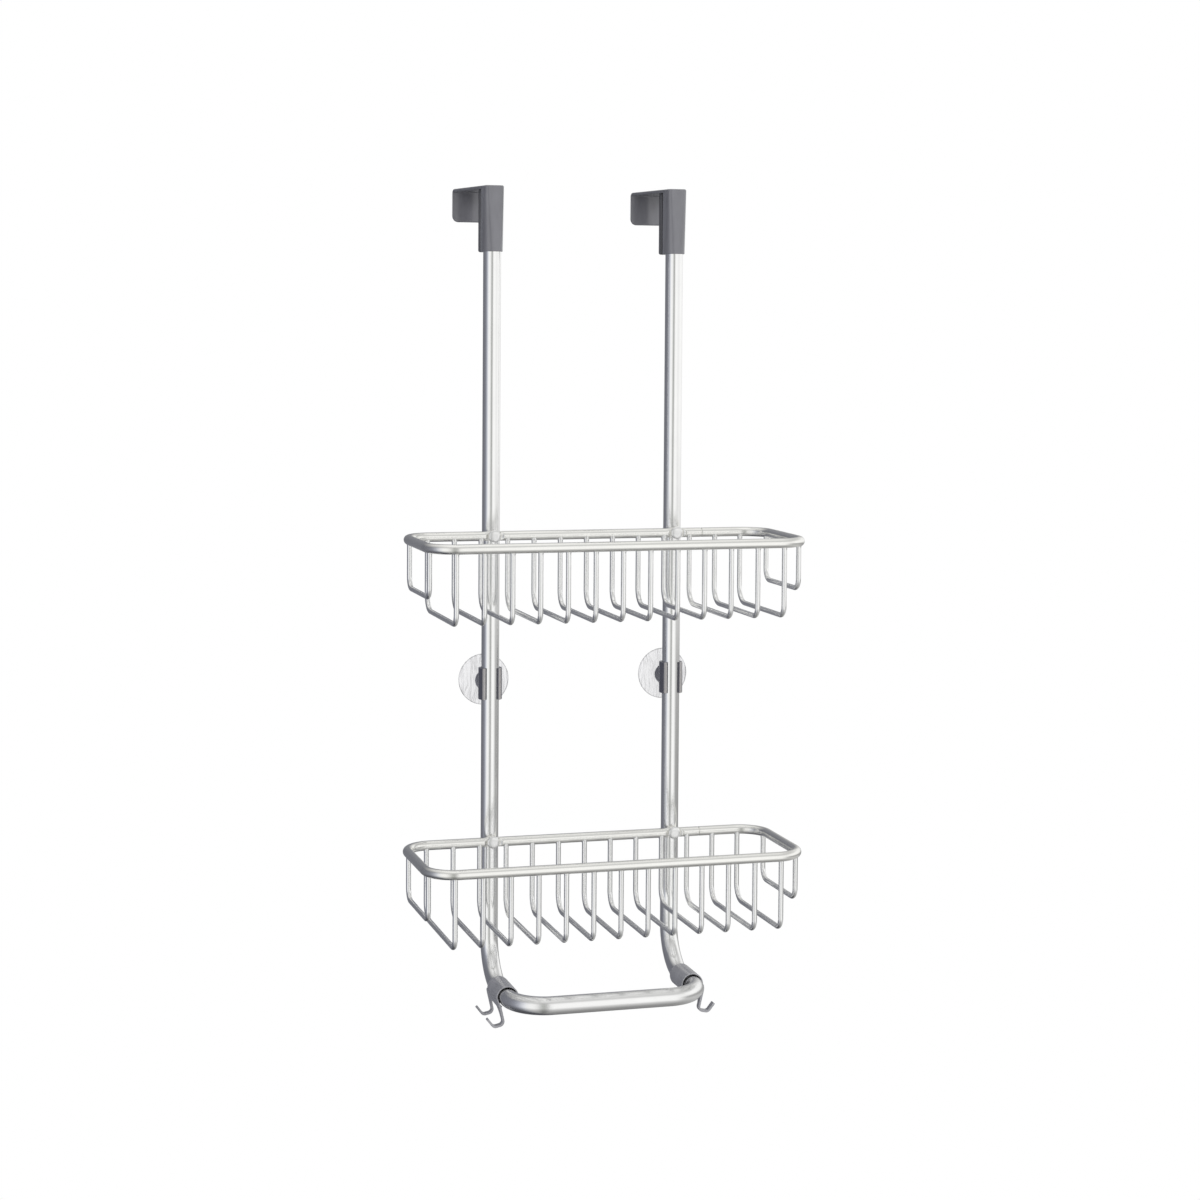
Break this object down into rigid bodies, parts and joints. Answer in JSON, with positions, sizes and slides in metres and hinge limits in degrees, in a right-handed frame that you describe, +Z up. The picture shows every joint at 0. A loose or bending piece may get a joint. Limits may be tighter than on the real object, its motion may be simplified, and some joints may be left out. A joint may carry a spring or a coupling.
{
  "type": "shower caddy",
  "caption": "Over-the-door shower caddy: bent tube frame, two wire baskets, towel bar with small hooks, plastic door hooks and sliding suction cups.",
  "frame": {"origin": "midway between the two door hooks, on the edge where the top of the door meets its front face", "axes": "+X right as seen from the room, +Y from the room into the door, +Z up; uprights 22.5 mm in front of the door face"},
  "size_m": [0.3024, 0.1777, 0.6481],
  "materials": {
    "tube": "satin anodised",
    "basket_wire": "satin",
    "rivet": "satin",
    "grey_plastic": "satin moulded",
    "clear_vinyl": "clear soft vinyl"
  },
  "bodies": {
    "frame": {"left_upright": "tube", "right_upright": "tube", "towel_bar": "tube", "upper_rim": "basket_wire", "lower_rim": "basket_wire", "upper_wire_01": "basket_wire", "upper_wire_02": "basket_wire", "upper_wire_03": "basket_wire", "upper_wire_04": "basket_wire", "upper_wire_05": "basket_wire", "upper_wire_06": "basket_wire", "upper_wire_07": "basket_wire", "upper_wire_08": "basket_wire", "upper_wire_09": "basket_wire", "upper_wire_10": "basket_wire", "upper_wire_11": "basket_wire", "upper_wire_12": "basket_wire", "upper_wire_13": "basket_wire", "lower_wire_01": "basket_wire", "lower_wire_02": "basket_wire", "lower_wire_03": "basket_wire", "lower_wire_04": "basket_wire", "lower_wire_05": "basket_wire", "lower_wire_06": "basket_wire", "lower_wire_07": "basket_wire", "lower_wire_08": "basket_wire", "lower_wire_09": "basket_wire", "lower_wire_10": "basket_wire", "lower_wire_11": "basket_wire", "lower_wire_12": "basket_wire", "lower_wire_13": "basket_wire", "upper_left_end_wire": "basket_wire", "upper_right_end_wire": "basket_wire", "lower_left_end_wire": "basket_wire", "lower_right_end_wire": "basket_wire", "basket_rivets": "rivet", "left_door_hook": "grey_plastic", "left_hook_clip": "grey_plastic", "right_door_hook": "grey_plastic", "right_hook_clip": "grey_plastic"},
    "left_holder": {"left_cup_holder": "grey_plastic"},
    "left_cup": {"left_suction_cup": "clear_vinyl"},
    "right_holder": {"right_cup_holder": "grey_plastic"},
    "right_cup": {"right_suction_cup": "clear_vinyl"}
  },
  "joints": [
    {"name": "left_holder_slide", "type": "slide", "parent": "frame", "child": "left_holder", "axis": [0, 0, 1], "range_m": [-0.107, 0.1]},
    {"name": "left_cup_turn", "type": "hinge", "parent": "left_holder", "child": "left_cup", "pos_m": [-0.075, 0, -0.389], "axis": [0, 1, 0], "continuous": true},
    {"name": "right_holder_slide", "type": "slide", "parent": "frame", "child": "right_holder", "axis": [0, 0, 1], "range_m": [-0.107, 0.1]},
    {"name": "right_cup_turn", "type": "hinge", "parent": "right_holder", "child": "right_cup", "pos_m": [0.075, 0, -0.389], "axis": [0, 1, 0], "continuous": true}
  ]
}
